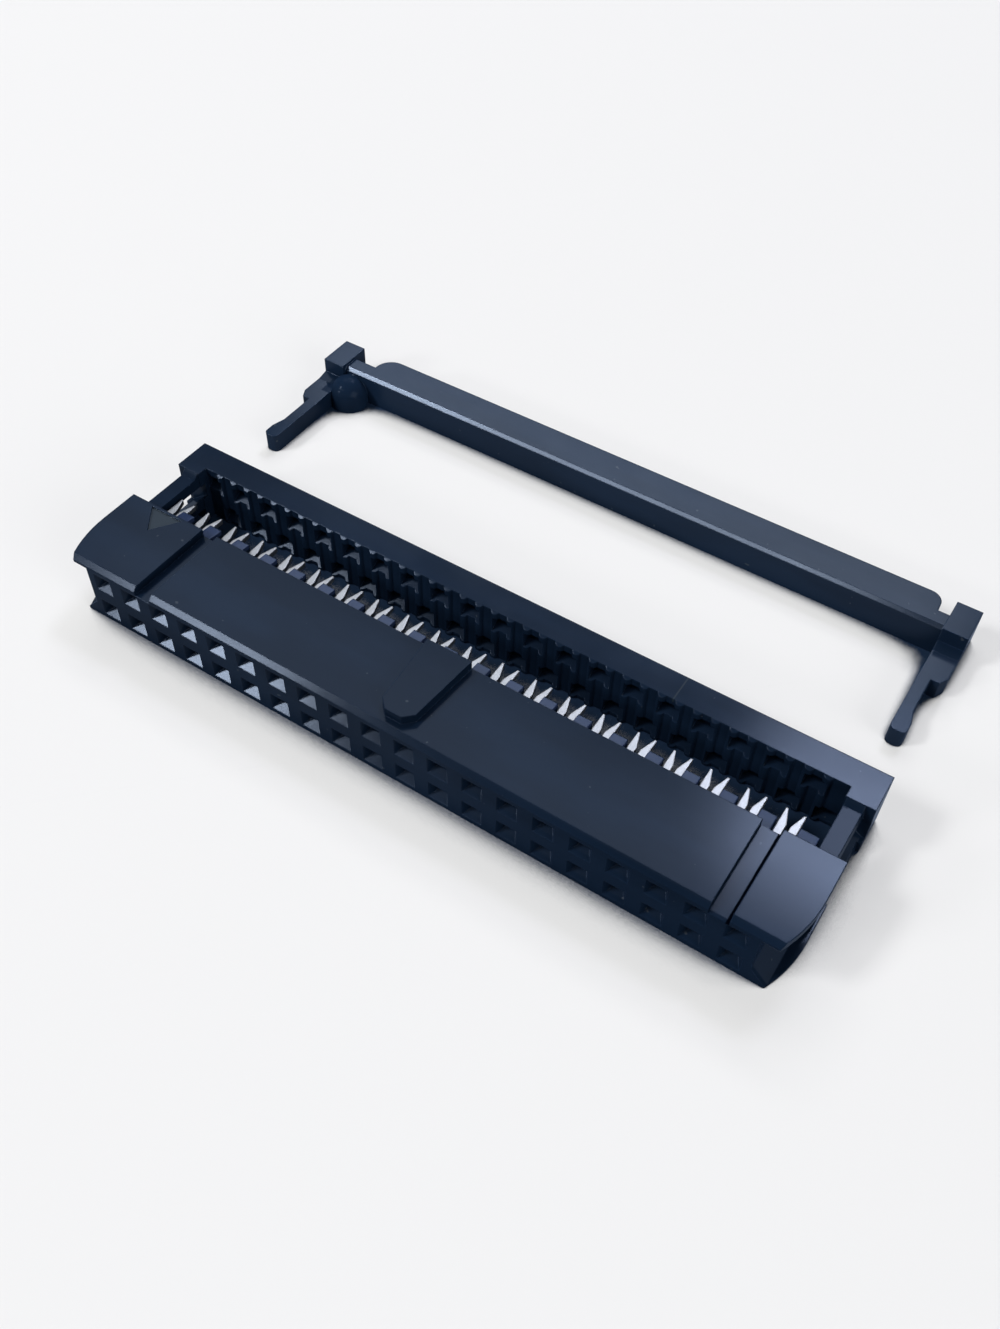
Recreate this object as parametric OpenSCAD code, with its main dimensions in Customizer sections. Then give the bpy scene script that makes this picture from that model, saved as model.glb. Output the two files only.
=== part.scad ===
// Ribbon cable socket with its cover open and its strain relief lying behind it.
// X runs along the contact rows, +Y from the mating face towards the cable, +Z up from the table.
// Sizes below count Y from the mating face; the origin is the middle of the housing's underside.

/* [Contact grid] */
// Contacts in each of the two rows
columns = 20; // [8:1:27]
// Spacing of the contacts along a row and between the rows
pitch = 2.54; // [2.5:0.01:2.7]

/* [Cavities] */
// Wall below the lower row of lead-ins
floor_t = 0.38; // [0.3:0.02:0.8]
// Wall above the upper row of lead-ins
roof_t = 0.08; // [0.06:0.02:0.4]
// Side of the square mouth of a pin lead-in
funnel_w = 1.5; // [1.3:0.05:1.6]
// Depth of the pyramid lead-in
funnel_depth = 0.65; // [0.5:0.05:0.8]
// Side of the square throat where a lead-in meets its cavity
throat_w = 0.72; // [0.68:0.02:0.86]
// Width of a cavity along the row
cavity_w = 1.36; // [1.3:0.02:1.4]
// Height of a cavity
cavity_h = 0.92; // [0.8:0.02:1.1]

/* [Housing] */
// Depth of the raised panel and the lugs, from the mating face
panel_depth = 6.95; // [6.6:0.05:7.4]
// Height of the panel and the lugs above the core
panel_h = 0.65; // [0.4:0.05:1]
// Reach of the core's lip behind the panel
lip_d = 1.2; // [0.9:0.05:1.6]
// Fall of the lip's top towards the cover
lip_drop = 0.15; // [0.05:0.05:0.3]
// Wall between the last contact's centre line and the latch channel
end_wall = 1.32; // [1.25:0.01:1.5]
// Reach of the lugs and the foot past the end wall
lug_reach = 2.05; // [1.9:0.05:2.4]
// Thickness of a lug where it overhangs the latch channel
lug_t = 0.55; // [0.4:0.05:0.6]
// Length of the rounded nose at the front of each end
nose_len = 4; // [2.5:0.1:4.5]
// How far the nose draws in at the mating face
nose_in = 0.9; // [0.6:0.05:1.2]
// Height of the sloping foot at the end wall
foot_h = 1.3; // [1:0.05:1.35]
// How far the foot stays inside the lugs
foot_in = 0.1; // [0.05:0.05:0.4]
// Height of the foot's thin outer edge
foot_edge = 0.1; // [0.06:0.02:0.2]
// Width of the slots between the panel and the lugs
slot_w = 1.35; // [1:0.05:1.6]
// Columns that the lug at the first contact covers
first_lug_columns = 2; // [1:1:3]
// Columns that the lug at the last contact covers
last_lug_columns = 1; // [1:1:3]
// Chamfer along the front top edge
front_chamfer = 0.35; // [0.2:0.05:0.5]

/* [First contact mark] */
// Width of the triangle that marks the first contact
mark_w = 2.8; // [1.5:0.1:3.2]
// Length of the triangle towards the mating face
mark_len = 2; // [1:0.1:3]
// Depth of the triangle
mark_depth = 0.12; // [0.06:0.02:0.3]
// Distance of the triangle from the back edge of its lug
mark_in = 0.2; // [0.1:0.05:1]

/* [Polarising key] */
// Width of the key at the back of the panel
key_w = 3.45; // [3:0.05:5]
// Width of the key at its nose, across the cut corners
key_nose_w = 2.55; // [2:0.05:2.9]
// Height of the key above the panel
key_h = 0.7; // [0.4:0.05:1.2]
// Distance from the mating face to the key's nose
key_setback = 0.82; // [0.6:0.02:2]
// Length of the cut across each front corner of the key
key_corner = 0.65; // [0.4:0.05:0.9]

/* [Contacts] */
// Thickness of the contact strip
strip_t = 0.4; // [0.3:0.02:0.46]
// Width across the two tines of a fork
fork_w = 1.32; // [1.1:0.02:1.4]
// Width of the wire slot between the tines
fork_slot = 0.28; // [0.2:0.02:0.36]
// Reach of the fork tips behind the core
fork_reach = 1.23; // [0.9:0.02:1.4]
// Distance from the mating face to the seat of the contact's shoulder
seat_y = 5.6; // [5.2:0.05:5.9]
// Distance from the mating face to the tips of the spring arms
spring_tip = 1.15; // [1.15:0.05:1.5]
// Width of a spring arm
spring_w = 0.3; // [0.2:0.02:0.36]
// Gap between the spring arms where they grip the pin
spring_gap = 0.52; // [0.4:0.02:0.6]
// Length of the contact's base in front of its seat
base_len = 1.4; // [1:0.1:1.8]
// Thickness of the shoulder behind the seat
shoulder_t = 0.7; // [0.5:0.05:0.9]
// Length of the opening between the tines, from the tips to the wire slot
fork_mouth = 1.15; // [0.8:0.05:1.4]
// Width of a tine's tip
tine_tip_w = 0.14; // [0.08:0.02:0.2]

/* [Cover] */
// Thickness of the cover from the wire side to the back
cover_t = 2.9; // [2.8:0.05:3.4]
// Height of the cover
cover_h = 4.6; // [4.5:0.05:4.8]
// Depth of the recess for the ribbon cable
ribbon_recess = 0.8; // [0.6:0.05:0.9]
// Radius of the ribs that keep the wires apart
rib_r = 0.34; // [0.3:0.01:0.4]
// How far the ribs stand out of the recess
rib_out = 0.22; // [0.1:0.02:0.28]
// Drop of the slope on top of the ribs, over the ribs' reach
rib_slope = 0.14; // [0.06:0.02:0.24]
// Depth of a fork pocket behind the ribbon recess
pocket_depth = 1; // [0.8:0.05:1.2]
// Play around a fork tip in its pocket, above and below
pocket_play = 0.25; // [0.1:0.05:0.4]
// Length of the sloping lead-in at the bottom of a pocket
pocket_lead = 0.45; // [0.3:0.05:0.6]
// Fall of that lead-in towards the wires
pocket_fall = 0.28; // [0.15:0.01:0.4]
// Travel of the cover from open to pressed home
press_travel = 3.35; // [3:0.05:3.6]

/* [Latch arms] */
// Thickness of a latch arm at its top
arm_t = 1.2; // [1:0.05:1.3]
// How far an arm's outer face leans out at its bottom
arm_lean = 0.4; // [0.1:0.05:0.5]
// Distance from the mating face to the tip of an arm on the closed cover
arm_setback = 1.55; // [1:0.05:1.6]
// Length of the ramp from an arm up to the cover's top
arm_ramp = 0.4; // [0.2:0.05:1]
// Gap between an arm and the housing's end wall
arm_gap = 0.2; // [0.1:0.05:0.3]
// Gap between an arm and the lug above it
lug_gap = 0.3; // [0.2:0.05:0.4]
// Gap between an arm and the foot below it
foot_gap = 0.12; // [0.08:0.02:0.2]
// Length of the bar that closes a latch window
window_bar = 0.7; // [0.5:0.05:0.8]
// Height of the bar above a latch window
top_bar = 0.9; // [0.7:0.05:1.1]
// Height of a latch window's floor at the arm's inner face
window_floor = 2.2; // [2.1:0.05:2.6]
// Height of that floor at the arm's outer face
window_lip = 1.05; // [0.8:0.05:1.4]
// How far a latch window runs into the cover
window_in = 0.5; // [0:0.05:0.6]
// Length of a latch tooth
tooth_len = 1; // [0.6:0.05:1.05]
// Length of the flat on a latch tooth
tooth_flat = 0.3; // [0.2:0.05:0.4]
// Reach of a latch tooth out of the end wall
tooth_reach = 1; // [0.6:0.05:1.1]

/* [Strain relief] */
// Gap between the back of the open cover and the tips of the relief's arms
relief_gap = 6.2; // [1:0.05:12]
// Sideways place of the relief's middle, as it lies
relief_shift = -0.4; // [-2:0.05:2]
// How far each end of the relief reaches past the housing's length
relief_out = 0.27; // [0:0.01:0.6]
// Depth of the bar
bar_d = 2.97; // [2.6:0.01:3.6]
// Height of the bar
bar_h = 2.7; // [2.4:0.05:2.8]
// Chamfer along the bar's front top edge
bar_chamfer = 0.25; // [0.1:0.05:0.5]
// Depth of the notch between an end block and the bar's back
notch_d = 1.6; // [1.2:0.05:1.8]
// Width of the notch at the first contact
first_notch_w = 2.1; // [0.5:0.05:3]
// Radius of the bar's back corner at the first contact
first_corner_r = 1.5; // [0.5:0.05:1.8]
// Width of the notch at the last contact
last_notch_w = 0.9; // [0.5:0.05:3]
// Radius of the bar's back corner at the last contact
last_corner_r = 1; // [0.5:0.05:1.8]
// Width of an end block
block_w = 1.88; // [1.6:0.02:2]
// Height of an end block
block_h = 2.95; // [2.8:0.05:3.4]
// How far an end block stands in front of the bar
block_lead = 0.35; // [0.2:0.05:0.6]
// How far an end block stays in front of the bar's back
block_in = 0.3; // [0:0.05:0.6]
// Drop of the slope from an end block down to its arm
slope_drop = 0.2; // [0.1:0.05:0.9]
// Length of that slope
slope_len = 0.9; // [0.6:0.05:1.5]
// Radius of the boss in the corner at the first contact
boss_r = 1.55; // [1.3:0.05:1.7]
// How far the boss's middle stands in from the end block and in front of the bar
boss_in = 0.8; // [0.5:0.05:1]
// Height of the boss up to its domed top
boss_h = 0.9; // [0.6:0.1:1]
// Reach of an arm in front of the bar
finger_len = 9.25; // [7.5:0.05:10]
// Thickness of an arm
finger_t = 0.88; // [0.7:0.01:1]
// Height of an arm
finger_h = 1.55; // [1.2:0.05:1.7]
// Radius of an arm's tip corners
finger_corner = 0.4; // [0.2:0.05:0.45]
// Reach of the barb out of an arm's tip
barb = 0.3; // [0.1:0.05:0.5]
// Length of the barb along the arm
barb_len = 2.2; // [1.8:0.1:3.2]
// Length of the shoulder beside the root of an arm
shoulder_len = 3.85; // [2.5:0.05:4.5]
// Width of the cut across the shoulder's outer corner
shoulder_cut = 0.35; // [0.1:0.05:0.5]
// Length of that cut
shoulder_run = 0.7; // [0.3:0.05:1]

/* [Hidden] */
$fn = 48;
// Facets of the large arcs
fine = 180;
// Play between pieces that slide or are pushed in
play = 0.1;
// Play around a contact in its slot
slot_play = 0.03;
// Overrun of a cutter past the face that it opens
over = 0.5;
// Overlap that joins the outlines of one piece
lap = 0.1;

span = (columns - 1) * pitch;
wire_pitch = pitch / 2;
wires = 2 * columns;
rows_z = floor_t + funnel_w / 2 + pitch / 2;
row_z = [rows_z + pitch / 2, rows_z - pitch / 2];

core_top = row_z[0] + funnel_w / 2 + roof_t;
core_depth = panel_depth + lip_d;
panel_top = core_top + panel_h;
lug_under = panel_top - lug_t;
wall_x = span / 2 + end_wall;
half_len = wall_x + lug_reach;
foot_x = half_len - foot_in;
slope_x = half_len - nose_in;
foot_slope = (foot_h - foot_edge) / (slope_x - wall_x);
nose_r = (nose_len * nose_len + nose_in * nose_in) / (2 * nose_in);
first_slot_x = -span / 2 + (first_lug_columns - 0.5) * pitch;
last_slot_x = span / 2 - (last_lug_columns - 0.5) * pitch;

fork_x = wire_pitch / 2;
fork_tip = core_depth + fork_reach;
strip_slot = strip_t + 2 * slot_play;
strip_side = cavity_w / 2 - slot_play;
shoulder_y = seat_y + shoulder_t;

cover_y = core_depth + press_travel;
cover_z = rows_z - cover_h / 2;
cover_top = cover_z + cover_h;
cover_back = cover_y + cover_t;
recess_y = cover_y + ribbon_recess;
recess_x = wall_x + play;
pocket_w = fork_w + 2 * play;
pocket_h = strip_t + 2 * pocket_play;

arm_x = wall_x + arm_gap;
arm_out = arm_x + arm_t;
arm_tip = arm_setback + press_travel;
arm_top = lug_under - lug_gap;
arm_low = foot_edge + foot_gap;
window_y = arm_tip + window_bar;
window_top = arm_top - top_bar;
tooth_y = window_y + play;
tooth_top = window_top - play;
tooth_low = window_floor + play;

relief_x = half_len + relief_out;
relief_y = cover_back + relief_gap + finger_len;
relief_back = relief_y + bar_d;
block_x = relief_x - block_w;
block_front = relief_y - block_lead;
finger_tip = relief_y - finger_len;

// Height of an arm's sloping underside at a given X
function slope_z(x) = foot_h + foot_gap - (x - wall_x) * foot_slope;
function column_x(i) = (i - (columns - 1) / 2) * pitch;
function rib_x(i) = (i - wires / 2) * wire_pitch;
function contact_name(i) = str("contact_", i < 10 ? "0" : "", i);
CONTACTS = [for (i = [1 : wires]) contact_name(i)];

// Puts a piece that is drawn from the mating face into the housing's own frame.
module placed() {
    translate([0, -panel_depth / 2, 0]) children();
}

// Box given by its lowest and highest corners.
module span_box(low, high) {
    translate(low) cube(high - low);
}

// Extrudes an outline drawn in Y and Z along X, from one X to another.
module along_x(from, to) {
    translate([from, 0, 0]) rotate([90, 0, 90]) linear_extrude(to - from) children();
}

// Extrudes an outline drawn in X and Z along Y, from one Y to another.
module along_y(from, to) {
    translate([0, to, 0]) rotate([90, 0, 0]) linear_extrude(to - from) children();
}

// Draws its child on both ends of the part.
module both_ends() {
    children();
    mirror([1, 0, 0]) children();
}

// Plan of the housing out to a given X: straight ends that draw in to a rounded nose at the mating face.
module housing_plan(end_x) {
    translate([-end_x, nose_len]) square([2 * end_x, panel_depth - nose_len]);
    translate([-end_x + nose_r, 0]) square([2 * (end_x - nose_r), panel_depth]);
    both_ends() translate([end_x - nose_r, 0]) intersection() {
        translate([0, nose_len]) circle(nose_r, $fn = fine);
        square([nose_r, nose_len]);
    }
}

// Slice of the raised plane, between two X, over the core or overhanging the channels.
module raised(from, to, low) {
    intersection() {
        translate([0, 0, low]) linear_extrude(panel_top - low) housing_plan(half_len);
        span_box([from, 0, low], [to, panel_depth, panel_top]);
    }
}

// Foot below a latch channel, sloping down to a thin outer edge.
module foot() {
    intersection() {
        linear_extrude(foot_h) housing_plan(foot_x);
        along_y(0, panel_depth) polygon([
            [wall_x, 0], [foot_x, 0], [foot_x, foot_edge], [slope_x, foot_edge], [wall_x, foot_h]
        ]);
    }
}

// Tooth that holds the cover: steep towards the mating face, sloping towards the cover.
module latch_tooth() {
    translate([0, 0, tooth_low]) linear_extrude(tooth_top - tooth_low) polygon([
        [wall_x, tooth_y],
        [wall_x + tooth_reach, tooth_y],
        [wall_x + tooth_reach, tooth_y + tooth_flat],
        [wall_x, tooth_y + tooth_len]
    ]);
}

// Polarising key that narrows to a nose with cut corners.
module key() {
    translate([0, 0, core_top]) linear_extrude(panel_top + key_h - core_top) polygon([
        [-key_w / 2, panel_depth],
        [key_w / 2, panel_depth],
        [key_nose_w / 2, key_setback + key_corner],
        [key_nose_w / 2 - key_corner, key_setback],
        [-key_nose_w / 2 + key_corner, key_setback],
        [-key_nose_w / 2, key_setback + key_corner]
    ]);
}

// Shallow triangle that points at the first contact.
module first_mark() {
    translate([column_x(0), panel_depth - mark_in, panel_top - mark_depth]) linear_extrude(over)
        polygon([[-mark_w / 2, 0], [0, -mark_len], [mark_w / 2, 0]]);
}

// Chamfer cutter along the front edge of the raised plane.
module front_bevel() {
    along_x(-half_len - over, half_len + over) polygon([
        [-over, panel_top - front_chamfer - over],
        [front_chamfer + over, panel_top + over],
        [-over, panel_top + over]
    ]);
}

// Section of a lead-in across its depth: wide at the mating face, narrowing to the throat.
module lead_in_section() {
    polygon([
        [-funnel_w / 2, 0], [funnel_w / 2, 0], [throat_w / 2, funnel_depth], [-throat_w / 2, funnel_depth]
    ]);
}

// Every pyramid lead-in at once: columns of wedges crossed with rows of wedges.
module lead_ins() {
    intersection() {
        linear_extrude(core_top) for (i = [0 : columns - 1])
            translate([column_x(i), 0]) lead_in_section();
        along_x(-wall_x, wall_x) for (z = row_z)
            translate([0, z]) rotate(90) mirror([0, 1]) lead_in_section();
    }
}

// Pin cavities behind the lead-ins.
module cavities() {
    along_y(funnel_depth, seat_y) for (i = [0 : columns - 1], z = row_z)
        translate([column_x(i), z]) square([cavity_w, cavity_h], center = true);
}

// Slots that hold the forks, from the contact's seat to the back of the core.
module fork_slots() {
    fork_side = fork_x + fork_w / 2 + slot_play;
    for (r = [0, 1]) along_y(seat_y, core_depth + over) for (i = [0 : columns - 1])
        translate([column_x(i), row_z[r] - strip_slot / 2]) mirror([r, 0])
            translate([-fork_side, 0]) square([fork_side + cavity_w / 2, strip_slot]);
}

// Gaps in the core's back lip that bare the forks above the upper row and below the lower one.
module lip_gaps() {
    gap_h = core_top - row_z[0] + strip_slot / 2 + over;
    along_y(panel_depth, core_depth + over) for (i = [0 : columns - 1]) {
        translate([column_x(i) - fork_x - pocket_w / 2, row_z[0] - strip_slot / 2]) square([pocket_w, gap_h]);
        translate([column_x(i) + fork_x - pocket_w / 2, -over])
            square([pocket_w, over + row_z[1] + strip_slot / 2]);
    }
}

// Cutter that slopes the lip's top down towards the cover.
module lip_slope() {
    fall = lip_drop * (lip_d + over) / lip_d;
    along_x(-wall_x - over, wall_x + over) polygon([
        [panel_depth, core_top],
        [core_depth + over, core_top - fall],
        [core_depth + over, core_top + over],
        [panel_depth, core_top + over]
    ]);
}

module housing() {
    color("#1d2430") placed() difference() {
        union() {
            span_box([-wall_x, 0, 0], [wall_x, core_depth, core_top]);
            raised(first_slot_x + slot_w / 2, last_slot_x - slot_w / 2, core_top);
            raised(-wall_x, first_slot_x - slot_w / 2, core_top);
            raised(last_slot_x + slot_w / 2, wall_x, core_top);
            raised(-half_len, -wall_x, lug_under);
            raised(wall_x, half_len, lug_under);
            both_ends() foot();
            both_ends() latch_tooth();
            key();
        }
        front_bevel();
        first_mark();
        lead_ins();
        cavities();
        fork_slots();
        lip_gaps();
        lip_slope();
    }
}

// Outline of half of the spring end: an arm that closes in to grip the pin and flares at its tip.
function spring_half() =
    let (root_y = seat_y - base_len, waist_y = spring_tip + 2 * spring_w, grip_x = spring_gap / 2) [
        [strip_side - spring_w, root_y],
        [grip_x, waist_y + spring_w / 2],
        [grip_x, waist_y - spring_w / 2],
        [strip_side - spring_w, spring_tip],
        [strip_side, spring_tip],
        [grip_x + spring_w, waist_y],
        [strip_side, root_y]
    ];

// Outline of half of the fork end, about the fork's own middle: a tine with a pointed tip.
function tine_half() = [
    [fork_w / 2, shoulder_y],
    [fork_w / 2, fork_tip],
    [fork_w / 2 - tine_tip_w, fork_tip],
    [fork_slot / 2, fork_tip - fork_mouth],
    [fork_slot / 2, shoulder_y + shoulder_t]
];

// The same points mirrored in X and taken backwards.
function mirrored(points) = [for (k = [len(points) - 1 : -1 : 0]) [-points[k][0], points[k][1]]];

// The same points moved along X.
function moved(points, x) = [for (point = points) [point[0] + x, point[1]]];

// Contact stamped from flat strip: spring arms, base, shoulder and a fork set to one side.
module contact(i, r) {
    outline = concat(
        spring_half(),
        [[strip_side, shoulder_y]],
        moved(concat(tine_half(), mirrored(tine_half())), -fork_x),
        [[-fork_x - fork_w / 2, seat_y], [-strip_side, seat_y]],
        mirrored(spring_half())
    );
    color("#d9dce0") placed() translate([column_x(i), 0, row_z[r] - strip_t / 2])
        linear_extrude(strip_t) mirror([r, 0]) polygon(outline);
}

// Latch arm that leans out above the foot's slope, blended into the cover above.
module latch_arm() {
    along_y(arm_tip, cover_y + over) polygon([
        [arm_x, slope_z(arm_x)],
        [slope_x, arm_low],
        [arm_out + arm_lean, arm_low],
        [arm_out, arm_top],
        [arm_x, arm_top]
    ]);
    along_x(arm_x, arm_out) polygon([
        [cover_y - arm_ramp, arm_top],
        [cover_y + over, arm_top],
        [cover_y + over, cover_top],
        [cover_y, cover_top]
    ]);
}

// Window in a latch arm that rides on the housing's tooth, with a sloping floor.
module latch_window() {
    along_y(window_y, cover_y + window_in) polygon([
        [arm_x - over, window_floor],
        [arm_x, window_floor],
        [arm_out + arm_lean, window_lip],
        [half_len + over, window_lip],
        [half_len + over, window_top],
        [arm_x - over, window_top]
    ]);
}

// Pockets that clear the fork tips when the cover is pressed home, each with a sloping lead-in.
module fork_pockets() {
    fall = pocket_fall * (pocket_lead + over) / pocket_lead;
    for (i = [0 : columns - 1], r = [0, 1]) {
        middle = column_x(i) + (2 * r - 1) * fork_x;
        along_x(middle - pocket_w / 2, middle + pocket_w / 2) translate([recess_y, row_z[r]]) polygon([
            [-over, pocket_h / 2],
            [-over, -pocket_h / 2 - fall],
            [pocket_lead, -pocket_h / 2],
            [pocket_depth, -pocket_h / 2],
            [pocket_depth, pocket_h / 2]
        ]);
    }
}

// Half-round ribs between the wires, sloping at the top.
module wire_ribs() {
    front = recess_y - rib_out - lap;
    drop = rib_slope * (rib_out + lap) / rib_out;
    difference() {
        translate([0, 0, cover_z]) linear_extrude(cover_h) for (i = [1 : wires - 1])
            translate([rib_x(i), recess_y + rib_r - rib_out]) circle(rib_r);
        along_x(-recess_x, recess_x) polygon([
            [recess_y, cover_top],
            [front, cover_top - drop],
            [front, cover_top + over],
            [recess_y, cover_top + over]
        ]);
    }
}

module cover() {
    color("#1f2733") placed() difference() {
        union() {
            difference() {
                span_box([-half_len, cover_y, cover_z], [half_len, cover_back, cover_top]);
                span_box([-recess_x, cover_y - over, cover_z - over], [recess_x, recess_y, cover_top + over]);
            }
            wire_ribs();
            both_ends() latch_arm();
        }
        fork_pockets();
        both_ends() latch_window();
    }
}

// Side outline of an end block in Y and Z: tall beside the bar, sloping down to the arm.
module block_side() {
    polygon([
        [relief_back - block_in, 0], [relief_back - block_in, block_h],
        [block_front, block_h], [block_front, finger_h + slope_drop],
        [block_front - slope_len, finger_h], [block_front - slope_len, 0]
    ]);
}

// Plan outline of an arm: a straight finger, a barbed tip with round corners, a shoulder at the root.
module finger_plan() {
    tip_w = finger_t + barb;
    barb_y = finger_tip + barb_len / 2;
    round_y = finger_tip + finger_corner;
    translate([block_x, round_y]) square([finger_t, relief_y - round_y]);
    translate([block_x + finger_corner, finger_tip]) square([tip_w - 2 * finger_corner, barb_len / 2]);
    translate([block_x, round_y]) square([tip_w, barb_y - round_y]);
    for (x = [block_x + finger_corner, block_x + tip_w - finger_corner])
        translate([x, round_y]) circle(finger_corner);
    polygon([
        [block_x, barb_y - lap], [block_x + tip_w, barb_y - lap], [block_x + tip_w, barb_y],
        [block_x + finger_t, finger_tip + barb_len], [block_x, finger_tip + barb_len]
    ]);
    polygon([
        [block_x, relief_y], [relief_x, relief_y],
        [relief_x, relief_y - shoulder_len + shoulder_run],
        [relief_x - shoulder_cut, relief_y - shoulder_len], [block_x, relief_y - shoulder_len]
    ]);
}

// Half of the bar in plan, towards +X: its back ends in a round corner beside the notch.
module half_bar(notch_w, corner_r) {
    bar_end = block_x - notch_w;
    translate([-lap, relief_y]) square([block_x + 2 * lap, bar_d - notch_d]);
    translate([-lap, relief_y]) square([bar_end + lap, bar_d - corner_r]);
    translate([-lap, relief_y]) square([bar_end - corner_r + lap, bar_d]);
    translate([bar_end - corner_r, relief_back - corner_r]) intersection() {
        circle(corner_r);
        translate([-lap, -lap]) square(corner_r + lap);
    }
}

// Chamfer cutter along the bar's front top edge.
module bar_bevel() {
    along_x(-block_x, block_x) polygon([
        [relief_y - over, bar_h - bar_chamfer - over],
        [relief_y + bar_chamfer + over, bar_h + over],
        [relief_y - over, bar_h + over]
    ]);
}

// Round boss with a domed top in the corner at the first contact.
module boss() {
    translate([-block_x + boss_in, relief_y - boss_in, 0]) rotate_extrude() intersection() {
        union() {
            square([boss_r, boss_h]);
            translate([0, boss_h]) circle(boss_r);
        }
        square([boss_r, boss_h + boss_r]);
    }
}

module strain_relief() {
    color("#262f3c") placed() translate([relief_shift, 0, 0]) {
        difference() {
            linear_extrude(bar_h) {
                half_bar(last_notch_w, last_corner_r);
                mirror([1, 0]) half_bar(first_notch_w, first_corner_r);
            }
            bar_bevel();
        }
        both_ends() along_x(block_x, relief_x) block_side();
        both_ends() linear_extrude(finger_h) finger_plan();
        boss();
    }
}

housing();
cover();
strain_relief();
for (n = [0 : wires - 1])
    contact(floor(n / 2), n % 2);
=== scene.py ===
"""Dresses a ribbon cable socket: moulded plastic, tin-plated contacts, table, lamps and camera."""

import bpy
from bpy.props import FloatProperty, FloatVectorProperty, PointerProperty
from mathutils import Matrix, Vector

bl_info = {
    "name": "Ribbon cable socket",
    "version": (1, 0, 0),
    "blender": (4, 5, 0),
    "location": "View3D > Sidebar > Socket",
    "description": "Finishes, table, lamps and camera for a ribbon cable socket",
    "category": "Object",
}

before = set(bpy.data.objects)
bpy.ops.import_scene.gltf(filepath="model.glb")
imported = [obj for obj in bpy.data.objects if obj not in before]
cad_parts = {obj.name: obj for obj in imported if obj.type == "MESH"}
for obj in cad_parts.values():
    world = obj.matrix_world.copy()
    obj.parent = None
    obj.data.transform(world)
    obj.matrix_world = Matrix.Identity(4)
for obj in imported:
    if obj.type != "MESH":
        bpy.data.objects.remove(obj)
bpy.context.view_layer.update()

MM = 0.001
MM_PER_METRE = 1000.0
CONTACTS = sorted(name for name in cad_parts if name.startswith("contact_"))

WHITE = (1.0, 1.0, 1.0)
BLACK = (0.0, 0.0, 0.0)
COOL = (0.84, 0.86, 1.0)

# Moulded plastic: noise per millimetre, shares and tints of the marks on it.
RELIEF_TINT = 1.25
GRAIN_PER_MM = 9.0
FLOW_PER_MM = (0.06, 0.22, 0.22)
FLOW_TINTS = (0.85, 1.2)
CLOUD_PER_MM = 0.35
MIDDLE_NOISE = (0.35, 0.65)
EDGE_TURN = (0.01, 0.25)
# Lighter edges: partly rubbed wear, partly a painted highlight on the edges.
RUB_AND_HIGHLIGHT_SHARE = 0.35
RUB_AND_HIGHLIGHT_TINT = 4.0
DUST_PER_MM = 2.4
DUST_NOISE = (0.85, 0.88)
DUST_SHARE = 0.6
DUST_COLOUR = (0.045, 0.055, 0.07)
CLOUD_ROUGHNESS = 0.06
GRAIN_ROUGHNESS = 0.08
GRAIN_STRENGTH = 0.6
GLANCE_STEEPNESS = 8.0
EDGE_SAMPLES = 6

# Tin plate: lines of the rolled strip, dull patches and the rounding of the stamped edges.
LINES_PER_MM = (24.0, 1.6, 8.0)
LINE_DEPTH = 0.004 * MM
LINE_STRENGTH = 0.5
LINE_ROUGHNESS = 0.1
PATCHES_PER_MM = 1.7
PATCH_NOISE = (0.3, 0.7)
PATCH_TINTS = (0.9, 1.08)
PATCH_ROUGHNESS = 0.12
STAMPED_RADIUS = 0.1 * MM

# Table: where it lies open, the painted shade in the gap under the forks, and where it turns into the
# far wall.
MOTTLE_PER_MM = 0.02
MOTTLE_TINTS = (0.995, 1.005)
OPEN_REACH = 8.0 * MM
OPEN_SAMPLES = 16
OPEN_SHARE = (0.5, 0.62)
GAP_SHADE_COLOUR = (0.016, 0.032, 0.066)
FAR_MM = (180.0, 600.0)
BOUNCE_COLOUR = (0.35, 0.35, 0.35)
TABLE_ROUGHNESS = 0.9
WALL_HEIGHT = (0.3, 0.6)

# Lamps: name, place, aim and size in metres, colour, and the setting with the power.
LAMPS = (
    ("top lamp", (-0.26, 0.25, 0.54), (0.0, 0.0, 0.0), (0.42, 0.23), WHITE, "top_power"),
    ("back lamp", (-0.195, 0.466, 0.44), (0.0, 0.023, 0.005), (0.42, 0.09), WHITE, "back_power"),
    ("end lamp", (0.014, 0.389, 0.529), (0.024, 0.005, 0.005), (0.15, 0.1), COOL, "end_power"),
    ("side lamp", (-0.364, -0.312, 0.482), (-0.016, 0.0, 0.0), (0.11, 0.13), WHITE, "side_power"),
    ("low lamp", (-0.363, -0.49, 0.275), (-0.016, 0.0, 0.0), (0.11, 0.08), WHITE, "low_power"),
    ("edge lamp", (-0.22, -0.375, 0.41), (0.0, 0.026, 0.003), (0.36, 0.05), WHITE, "edge_power"),
    ("fill lamp", (0.56, -0.14, 0.2), (0.02, 0.0, 0.0), (0.4, 0.4), WHITE, "fill_power"),
)

# Camera: place in millimetres, right and up directions, sensor width in millimetres, clipping in metres.
CAMERA_PLACE = (30.294, -39.271, 66.611)
CAMERA_RIGHT = (0.83804, 0.54528, 0.01891)
CAMERA_UP = (-0.42737, 0.63449, 0.64404)
CAMERA_SENSOR = 36.0
CAMERA_CLIP = (0.005, 20.0)


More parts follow.
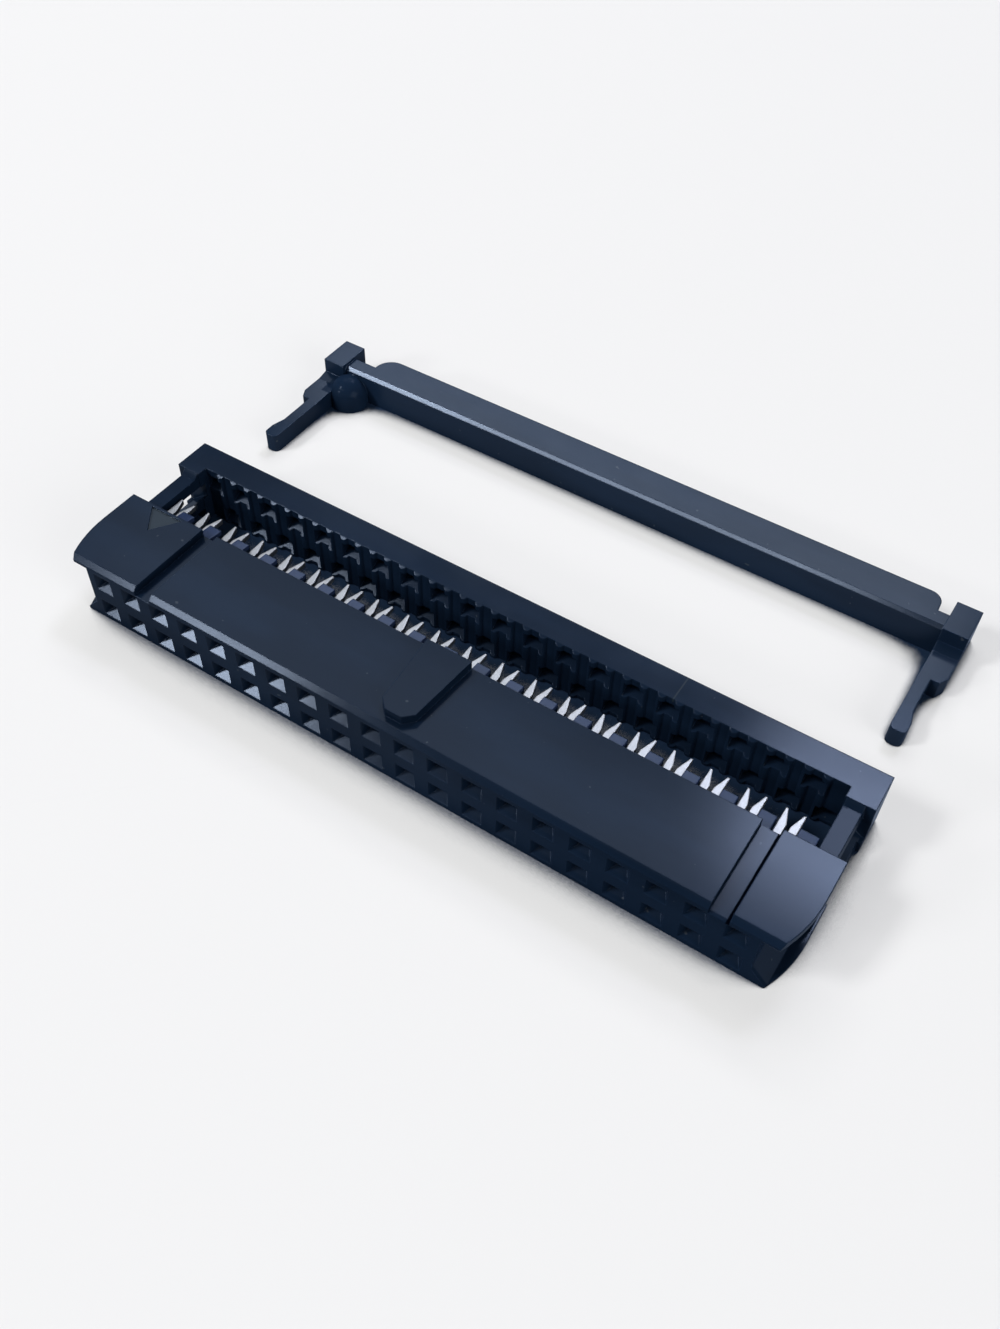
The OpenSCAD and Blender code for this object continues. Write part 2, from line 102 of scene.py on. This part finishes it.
class Value:
    """A socket of a finish's node tree that takes part in arithmetic."""

    def __init__(self, finish, socket):
        self.finish = finish
        self.socket = socket

    def math(self, operation, first, second):
        return self.finish.node("ShaderNodeMath", {"operation": operation}, {0: first, 1: second})

    def __add__(self, other):
        return self.math("ADD", self, other)

    __radd__ = __add__

    def __sub__(self, other):
        return self.math("SUBTRACT", self, other)

    def __rsub__(self, other):
        return self.math("SUBTRACT", other, self)

    def __mul__(self, other):
        return self.math("MULTIPLY", self, other)

    __rmul__ = __mul__

    def __pow__(self, other):
        return self.math("POWER", self, other)


class Finish:
    """A material, or the world, and the nodes that make it."""

    def __init__(self, name, owner=None):
        self.data = owner or bpy.data.materials.new(name)
        self.data.use_nodes = True
        self.tree = self.data.node_tree
        self.tree.nodes.clear()

    def node(self, kind, settings=None, inputs=None, output=0):
        """Adds a node, sets it, fills or links its inputs and returns one of its outputs."""
        made = self.tree.nodes.new(kind)
        for key, value in (settings or {}).items():
            setattr(made, key, value)
        for key, value in (inputs or {}).items():
            if isinstance(value, Value):
                self.tree.links.new(value.socket, made.inputs[key])
            else:
                made.inputs[key].default_value = value
        return Value(self, made.outputs[output])

    def place_mm(self):
        """The point on the surface, in millimetres of the part's own frame."""
        place = self.node("ShaderNodeTexCoord", output="Object")
        return self.scaled(place, MM_PER_METRE)

    def stretched(self, place, scale):
        """The place with each axis scaled by its own factor."""
        return self.node("ShaderNodeVectorMath", {"operation": "MULTIPLY"}, {0: place, 1: scale})

    def noise(self, place, per_mm, detail=2.0, roughness=0.5):
        return self.node(
            "ShaderNodeTexNoise",
            inputs={"Vector": place, "Scale": per_mm, "Detail": detail, "Roughness": roughness},
        )

    def between(self, value, low, high):
        """Takes the span from low to high to 0 to 1, with soft ends."""
        return self.node(
            "ShaderNodeMapRange",
            {"interpolation_type": "SMOOTHSTEP"},
            {"Value": value, "From Min": low, "From Max": high},
        )

    def blend(self, factor, first, second):
        return self.node(
            "ShaderNodeMix",
            {"data_type": "RGBA"},
            {0: factor, 6: first, 7: second},
            output=2,
        )

    def inside(self, place, low, high, border):
        """1 in a box of the part's own frame and 0 outside it, with a soft border."""
        middle = [(a + b) / 2.0 for a, b in zip(low, high)]
        half = [(b - a) / 2.0 for a, b in zip(low, high)]
        away = self.node("ShaderNodeVectorMath", {"operation": "SUBTRACT"}, {0: place, 1: middle})
        away = self.node("ShaderNodeVectorMath", {"operation": "ABSOLUTE"}, {0: away})
        away = self.node("ShaderNodeVectorMath", {"operation": "SUBTRACT"}, {0: away, 1: half})
        away = self.node("ShaderNodeVectorMath", {"operation": "DIVIDE"}, {0: away, 1: border})
        along = [self.node("ShaderNodeSeparateXYZ", inputs={0: away}, output=axis) for axis in "XYZ"]
        most = along[0].math("MAXIMUM", along[0], along[1])
        return self.between(most.math("MAXIMUM", most, along[2]), 1.0, -1.0)

    def scaled(self, vector, factor):
        """A vector or colour times a factor."""
        return self.node("ShaderNodeVectorMath", {"operation": "SCALE"}, {0: vector, "Scale": factor})

    def surface(self, shader, kind="ShaderNodeOutputMaterial"):
        """Links the shader to a new output and returns the material or world."""
        made = self.tree.nodes.new(kind)
        self.tree.links.new(shader.socket, made.inputs["Surface"])
        return self.data


def rgba(colour, factor=1.0):
    """A colour with its alpha, made brighter or darker."""
    return (colour[0] * factor, colour[1] * factor, colour[2] * factor, 1.0)


class PlasticSettings(bpy.types.PropertyGroup):
    """Black moulding compound of the housing, cover and strain relief."""

    colour: FloatVectorProperty(
        name="Colour",
        description="Colour of the moulding compound",
        subtype="COLOR",
        default=(0.0045, 0.0105, 0.0235),
    )
    roughness: FloatProperty(
        name="Roughness",
        description="Roughness of the moulded skin",
        subtype="FACTOR",
        default=0.16,
        min=0.05,
        max=1.0,
    )
    sheen: FloatVectorProperty(
        name="Sheen",
        description="Colour of the skin's reflection",
        subtype="COLOR",
        default=(0.64, 0.77, 1.0),
    )
    gloss: FloatProperty(
        name="Gloss",
        description="Share of the light that the skin mirrors",
        subtype="FACTOR",
        default=0.012,
        min=0.0,
        max=1.0,
        precision=4,
    )
    glance: FloatProperty(
        name="Glance",
        description="Share of the light that the skin mirrors when it is seen edge on",
        subtype="FACTOR",
        default=0.3,
        min=0.0,
        max=1.0,
    )
    edge_radius: FloatProperty(
        name="Edge radius",
        description="Radius of the moulded edges",
        unit="LENGTH",
        default=0.1 * MM,
        min=0.0,
    )
    grain: FloatProperty(
        name="Grain depth",
        description="Depth of the fine grain that the mould leaves",
        unit="LENGTH",
        default=0.0015 * MM,
        min=0.0,
    )


class ContactSettings(bpy.types.PropertyGroup):
    """Tin plate of the stamped contacts."""

    colour: FloatVectorProperty(
        name="Colour",
        description="Colour of the tin plate",
        subtype="COLOR",
        default=(0.23, 0.245, 0.27),
    )
    roughness: FloatProperty(
        name="Roughness",
        description="Roughness of the tin plate",
        subtype="FACTOR",
        default=0.42,
        min=0.05,
        max=1.0,
    )


class StageSettings(bpy.types.PropertyGroup):
    """Table, lamps and camera."""

    table_colour: FloatVectorProperty(
        name="Table",
        description="Colour of the table",
        subtype="COLOR",
        default=(0.93, 0.93, 0.93),
    )
    table_lift: FloatProperty(
        name="Table lift",
        description="Share of the table's brightness that stays in the lamps' shadows",
        subtype="FACTOR",
        default=0.45,
        min=0.0,
        max=1.0,
    )
    table_share: FloatProperty(
        name="Table share",
        description="Share of the table's brightness that comes from the lamps",
        subtype="FACTOR",
        default=0.39,
        min=0.0,
        max=1.0,
    )
    table_size: FloatProperty(
        name="Table size",
        description="Length of the table's sides",
        unit="LENGTH",
        default=3.0,
        min=0.5,
    )
    ambient: FloatProperty(
        name="Ambient",
        description="Strength of the light from all round",
        default=0.1,
        min=0.0,
    )
    top_power: FloatProperty(
        name="Top lamp",
        description="Power of the broad lamp above the first contacts",
        subtype="POWER",
        default=0.8,
        min=0.0,
    )
    back_power: FloatProperty(
        name="Back lamp",
        description="Power of the wide lamp behind the strain relief",
        subtype="POWER",
        default=1.08,
        min=0.0,
    )
    end_power: FloatProperty(
        name="End lamp",
        description="Power of the lamp behind the last contact",
        subtype="POWER",
        default=1.3,
        min=0.0,
    )
    side_power: FloatProperty(
        name="Side lamp",
        description="Power of the soft lamp beside the first contact",
        subtype="POWER",
        default=2.5,
        min=0.0,
    )
    low_power: FloatProperty(
        name="Low lamp",
        description="Power of the lamp below the side lamp",
        subtype="POWER",
        default=1.0,
        min=0.0,
    )
    edge_power: FloatProperty(
        name="Edge lamp",
        description="Power of the long lamp in front, which the relief's front edge mirrors",
        subtype="POWER",
        default=0.5,
        min=0.0,
    )
    fill_power: FloatProperty(
        name="Fill lamp",
        description="Power of the broad lamp beside the last contact",
        subtype="POWER",
        default=2.4,
        min=0.0,
    )
    lens: FloatProperty(
        name="Lens",
        description="Focal length of the camera",
        subtype="DISTANCE_CAMERA",
        default=45.15,
        min=10.0,
    )


CRISP = (0.03, 0.03, 0.03)
FADING = (9.0, 0.03, 0.03)

# Places where the moulding's colour or share of gloss is changed, most of them painted light or shade:
# lowest corner, highest corner and half width of the soft border in millimetres, colour or None, share
# of gloss.
HOUSING_MARKS_AND_PAINTED_LIGHT = (
    ((-25.6, 1.2, 5.0), (-22.7, 3.35, 5.08), CRISP, (0.019, 0.027, 0.036), 1.0),
    # Painted shadow: a near-black, unglossed line in the corner of the last slot beside the right lug.
    ((23.3, -3.5, 4.4), (23.54, 3.5, 4.62), CRISP, (0.0005, 0.001, 0.003), 0.0),
    # Painted light: the lip tops between the forks are lighter and bluer than the moulding.
    ((-26.0, 3.49, 4.05), (26.0, 4.6, 4.6), CRISP, (0.015, 0.026, 0.066), 1.0),
    # Painted shade: the front face towards the last contact mirrors a tenth as much, fading in over
    # about 9 mm.
    ((8.0, -3.6, 0.0), (40.0, -3.2, 5.1), FADING, None, 0.1),
)
COVER_SEAM_AND_PAINTED_SHADE = (
    ((13.44, 7.0, 4.4), (13.54, 12.0, 4.9), CRISP, (0.02, 0.028, 0.038), 1.0),
    # Painted shade: both latch arms mirror less.
    ((24.5, 2.5, 3.0), (27.6, 7.9, 4.55), CRISP, None, 0.4),
    ((-27.6, 2.5, 3.0), (-24.5, 7.9, 4.55), CRISP, None, 0.4),
    # Painted shade: the cover's inner face, with its ribs and pockets, mirrors less.
    ((-26.0, 7.5, 0.2), (26.0, 9.3, 4.35), CRISP, None, 0.45),
)
RELIEF_PAINTED_LIGHT_AND_SHADE = (
    # Painted highlight: the strain relief's front top edge mirrors four times as much.
    ((-27.5, 26.3, 2.42), (27.0, 26.64, 2.75), CRISP, None, 4.0),
    # Painted shade: the boss under the relief's left end mirrors a fifth as much, so it shows no
    # highlight.
    ((-27.1, 24.0, -0.1), (-23.9, 26.3, 2.6), CRISP, None, 0.2),
)


def moulded_plastic(name, settings, tint, marks_and_painted_light):
    """Black plastic with a fine mould grain, faint flow marks, specks of dust, lighter edges that are
    partly rubbed wear and partly painted edge highlight, and the listed marks, with painted light and
    shade among them.
    """
    finish = Finish(name)
    place = finish.place_mm()
    grain = finish.noise(place, GRAIN_PER_MM, detail=3.0, roughness=0.6)
    flow = finish.noise(finish.stretched(place, FLOW_PER_MM), 1.0, detail=3.0)
    cloud = finish.noise(place, CLOUD_PER_MM, detail=2.0)
    soft = finish.node("ShaderNodeBevel", {"samples": EDGE_SAMPLES}, {"Radius": settings.edge_radius})
    true = finish.node("ShaderNodeNewGeometry", output="Normal")
    flat = finish.node(
        "ShaderNodeVectorMath",
        {"operation": "DOT_PRODUCT"},
        {0: soft, 1: true},
        output="Value",
    )
    # Lighter edges, partly rubbed wear and partly painted edge highlight.
    rub_and_edge_highlight = finish.between(1.0 - flat, *EDGE_TURN) * finish.between(cloud, *MIDDLE_NOISE)
    dark, light = (rgba(settings.colour, tint * part) for part in FLOW_TINTS)
    base = finish.blend(finish.between(flow, *MIDDLE_NOISE), dark, light)
    base = finish.blend(rub_and_edge_highlight * RUB_AND_HIGHLIGHT_SHARE, base, rgba(settings.colour, tint * RUB_AND_HIGHLIGHT_TINT))
    dust = finish.between(finish.noise(place, DUST_PER_MM, detail=0.0), *DUST_NOISE)
    base = finish.blend(dust * DUST_SHARE, base, rgba(DUST_COLOUR))
    rough = settings.roughness + CLOUD_ROUGHNESS * (cloud - 0.5) + GRAIN_ROUGHNESS * (grain - 0.5)
    gloss = settings.gloss
    # The listed marks: some real marks, the others painted light or shade, given as colour or as a
    # changed share of mirroring.
    for low, high, border, colour, shine in marks_and_painted_light:
        mask = finish.inside(place, low, high, border)
        if colour:
            base = finish.blend(mask, base, rgba(colour))
        if shine != 1.0:
            gloss = gloss * (1.0 - (1.0 - shine) * mask)
    bump = finish.node(
        "ShaderNodeBump",
        inputs={
            "Height": grain,
            "Distance": settings.grain,
            "Strength": GRAIN_STRENGTH,
            "Normal": soft,
        },
    )
    body = finish.node(
        "ShaderNodeBsdfPrincipled",
        inputs={
            "Base Color": base,
            "Roughness": rough,
            "Specular IOR Level": 0.0,
            "Normal": bump,
        },
    )
    skin = finish.node(
        "ShaderNodeBsdfAnisotropic",
        inputs={"Color": rgba(settings.sheen), "Roughness": rough, "Normal": bump},
    )
    facing = finish.node(
        "ShaderNodeLayerWeight",
        inputs={"Blend": 0.5, "Normal": bump},
        output="Facing",
    )
    mirrored = gloss + settings.glance * facing ** GLANCE_STEEPNESS
    shader = finish.node("ShaderNodeMixShader", inputs={0: mirrored, 1: body, 2: skin})
    return finish.surface(shader)


def tin_plate(settings):
    """Bright tin with the faint lines of the rolled strip and dull patches."""
    finish = Finish("tin plate")
    place = finish.place_mm()
    lines = finish.noise(finish.stretched(place, LINES_PER_MM), 1.0, detail=2.0)
    patches = finish.noise(place, PATCHES_PER_MM, detail=3.0)
    dull, bright = (rgba(settings.colour, part) for part in PATCH_TINTS)
    base = finish.blend(finish.between(patches, *PATCH_NOISE), dull, bright)
    rough = settings.roughness + LINE_ROUGHNESS * (lines - 0.5) + PATCH_ROUGHNESS * (patches - 0.5)
    soft = finish.node("ShaderNodeBevel", {"samples": EDGE_SAMPLES}, {"Radius": STAMPED_RADIUS})
    bump = finish.node(
        "ShaderNodeBump",
        inputs={
            "Height": lines,
            "Distance": LINE_DEPTH,
            "Strength": LINE_STRENGTH,
            "Normal": soft,
        },
    )
    shader = finish.node(
        "ShaderNodeBsdfPrincipled",
        inputs={"Base Color": base, "Metallic": 1.0, "Roughness": rough, "Normal": bump},
    )
    return finish.surface(shader)


def seen_directly(finish):
    """1 for rays from the camera, a reflection or glass, and 0 for scattered light."""
    lit = None
    for kind in ("Is Camera Ray", "Is Glossy Ray", "Is Transmission Ray"):
        ray = finish.node("ShaderNodeLightPath", output=kind)
        lit = ray if lit is None else ray.math("MAXIMUM", lit, ray)
    return lit


def pale_table(settings):
    """Pale table that keeps the shadows, with painted shade in the gap under the forks, and glowing far
    away.
    """
    finish = Finish("pale table")
    place = finish.place_mm()
    mottle = finish.noise(place, MOTTLE_PER_MM, detail=2.0)
    dark, light = (rgba(settings.table_colour, part) for part in MOTTLE_TINTS)
    pale = finish.blend(mottle, dark, light)
    open_sky = finish.node(
        "ShaderNodeAmbientOcclusion",
        {"samples": OPEN_SAMPLES},
        {"Distance": OPEN_REACH},
        output="AO",
    )
    seen = seen_directly(finish)
    # Painted shade: where little open sky reaches the table, as in the gap under the forks, it turns
    # dark navy and stops glowing.
    clear = finish.between(open_sky, *OPEN_SHARE)
    reach = finish.node("ShaderNodeVectorMath", {"operation": "LENGTH"}, {0: place}, output="Value")
    far = finish.between(reach, *FAR_MM)
    lit = finish.scaled(pale, settings.table_share * (1.0 - far))
    lit = finish.blend(clear, rgba(GAP_SHADE_COLOUR), lit)
    glow = finish.scaled(pale, settings.table_lift + (1.0 - settings.table_lift) * far)
    shader = finish.node(
        "ShaderNodeBsdfPrincipled",
        inputs={
            "Base Color": finish.blend(seen, rgba(BOUNCE_COLOUR), lit),
            "Roughness": TABLE_ROUGHNESS,
            "Specular IOR Level": 0.0,
            "Emission Color": finish.blend(seen * clear, rgba(BLACK), glow),
            "Emission Strength": 1.0,
        },
    )
    return finish.surface(shader)


def give(names, material):
    """Puts a material on the slots of CAD nodes."""
    for name in names:
        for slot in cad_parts[name].material_slots:
            slot.material = material


class SOCKET_OT_housing(bpy.types.Operator):
    """Gives the housing its moulded skin"""

    bl_idname = "socket.housing"
    bl_label = "Housing"

    def execute(self, context):
        settings = context.scene.socket_plastic
        give(["housing"], moulded_plastic("housing plastic", settings, 1.0, HOUSING_MARKS_AND_PAINTED_LIGHT))
        return {"FINISHED"}


class SOCKET_OT_cover(bpy.types.Operator):
    """Gives the press-on cover its moulded skin"""

    bl_idname = "socket.cover"
    bl_label = "Cover"

    def execute(self, context):
        settings = context.scene.socket_plastic
        give(["cover"], moulded_plastic("cover plastic", settings, 1.0, COVER_SEAM_AND_PAINTED_SHADE))
        return {"FINISHED"}


class SOCKET_OT_relief(bpy.types.Operator):
    """Gives the loose strain relief its moulded skin"""

    bl_idname = "socket.relief"
    bl_label = "Strain relief"

    def execute(self, context):
        settings = context.scene.socket_plastic
        plastic = moulded_plastic("relief plastic", settings, RELIEF_TINT, RELIEF_PAINTED_LIGHT_AND_SHADE)
        give(["strain_relief"], plastic)
        return {"FINISHED"}


class SOCKET_OT_contacts(bpy.types.Operator):
    """Gives the forked contacts their tin plate"""

    bl_idname = "socket.contacts"
    bl_label = "Contacts"

    def execute(self, context):
        give(CONTACTS, tin_plate(context.scene.socket_contacts))
        return {"FINISHED"}


def soft_lamp(name, place, aim, size, colour, power):
    """Hangs a rectangular lamp that faces its aim, with its long side as near to X as it goes."""
    lamp = bpy.data.lights.new(name, "AREA")
    lamp.shape = "RECTANGLE"
    lamp.size, lamp.size_y = size
    lamp.energy = power
    lamp.color = colour
    holder = bpy.data.objects.new(name, lamp)
    holder.location = place
    holder.visible_camera = False
    back = (Vector(place) - Vector(aim)).normalized()
    across = (Vector((1.0, 0.0, 0.0)) - back * back.x).normalized()
    holder.rotation_euler = Matrix((across, back.cross(across), back)).transposed().to_euler()
    bpy.context.scene.collection.objects.link(holder)


class SOCKET_OT_stage(bpy.types.Operator):
    """Lays the table and sets the lamps and the camera"""

    bl_idname = "socket.stage"
    bl_label = "Stage"

    def execute(self, context):
        settings = context.scene.socket_stage
        self.table(settings)
        self.world(context, settings)
        for name, place, aim, size, colour, power in LAMPS:
            soft_lamp(name, place, aim, size, colour, getattr(settings, power))
        self.camera(context, settings)
        context.scene.view_settings.view_transform = "Standard"
        return {"FINISHED"}

    def table(self, settings):
        bpy.ops.mesh.primitive_plane_add(size=settings.table_size, location=(0.0, 0.0, 0.0))
        table = bpy.context.object
        table.name = "table"
        table.data.materials.append(pale_table(settings))

    def world(self, context, settings):
        context.scene.world = bpy.data.worlds.new("room")
        room = Finish("room", context.scene.world)
        way = room.node("ShaderNodeTexCoord", output="Generated")
        height = room.node("ShaderNodeSeparateXYZ", inputs={0: way}, output="Z")
        low = 1.0 - room.between(height, *WALL_HEIGHT)
        wall = (1.0 - settings.ambient) * seen_directly(room) * low
        light = room.node(
            "ShaderNodeBackground",
            inputs={"Color": rgba(settings.table_colour), "Strength": settings.ambient + wall},
        )
        room.surface(light, "ShaderNodeOutputWorld")

    def camera(self, context, settings):
        camera = bpy.data.cameras.new("camera")
        camera.lens = settings.lens
        camera.sensor_fit = "HORIZONTAL"
        camera.sensor_width = CAMERA_SENSOR
        camera.clip_start, camera.clip_end = CAMERA_CLIP
        holder = bpy.data.objects.new("camera", camera)
        right, up = Vector(CAMERA_RIGHT), Vector(CAMERA_UP)
        back = right.cross(up).normalized()
        turn = Matrix((right, up, back)).transposed().to_4x4()
        holder.matrix_world = Matrix.Translation(Vector(CAMERA_PLACE) * MM) @ turn
        context.scene.collection.objects.link(holder)
        context.scene.camera = holder


class SOCKET_PT_sidebar(bpy.types.Panel):
    """Lists the pieces of the socket"""

    bl_idname = "SOCKET_PT_sidebar"
    bl_label = "Ribbon cable socket"
    bl_space_type = "VIEW_3D"
    bl_region_type = "UI"
    bl_category = "Socket"

    def draw(self, context):
        for maker in MAKERS:
            self.layout.operator(maker.bl_idname)
        for held in GROUPS:
            group = getattr(context.scene, held)
            column = self.layout.column()
            for name in group.bl_rna.properties.keys():
                if name not in ("rna_type", "name"):
                    column.prop(group, name)


MAKERS = (SOCKET_OT_housing, SOCKET_OT_cover, SOCKET_OT_relief, SOCKET_OT_contacts, SOCKET_OT_stage)
GROUPS = {
    "socket_plastic": PlasticSettings,
    "socket_contacts": ContactSettings,
    "socket_stage": StageSettings,
}


def register():
    for group in GROUPS.values():
        bpy.utils.register_class(group)
    for name, group in GROUPS.items():
        setattr(bpy.types.Scene, name, PointerProperty(type=group))
    for maker in MAKERS:
        bpy.utils.register_class(maker)
    bpy.utils.register_class(SOCKET_PT_sidebar)


def unregister():
    bpy.utils.unregister_class(SOCKET_PT_sidebar)
    for maker in reversed(MAKERS):
        bpy.utils.unregister_class(maker)
    for name in GROUPS:
        delattr(bpy.types.Scene, name)
    for group in reversed(list(GROUPS.values())):
        bpy.utils.unregister_class(group)


def main():
    register()
    bpy.ops.socket.housing()
    bpy.ops.socket.cover()
    bpy.ops.socket.relief()
    bpy.ops.socket.contacts()
    bpy.ops.socket.stage()


if __name__ == "__main__":
    main()
